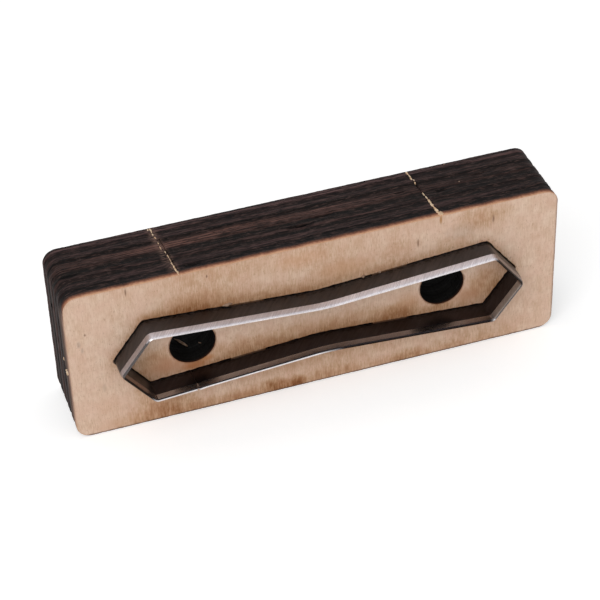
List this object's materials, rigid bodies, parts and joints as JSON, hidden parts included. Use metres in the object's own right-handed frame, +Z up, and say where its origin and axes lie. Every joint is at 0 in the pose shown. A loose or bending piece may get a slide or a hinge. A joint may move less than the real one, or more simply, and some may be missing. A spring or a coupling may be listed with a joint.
{
  "type": "steel rule die",
  "caption": "Plywood die board with a bevelled steel cutting rule pressed into its kerf, bent to a pinched, pointed strap outline for blanking sheet.",
  "frame": {"origin": "middle of the long edge that the die stands on: the bottom centre of its box", "axes": "+Z up as it stands on its long edge, +X along its length, -Y the way the cutting edge faces, +Y out of the back that lies on the press platen"},
  "size_m": [0.1096, 0.0238, 0.0375],
  "materials": {
    "plywood": "bare birch face veneer, laser-charred sides",
    "rule_steel": "dark hardened rule with a bright ground bevel"
  },
  "bodies": {
    "root": {"die_board": "plywood", "cutting_rule": "rule_steel"}
  },
  "joints": []
}
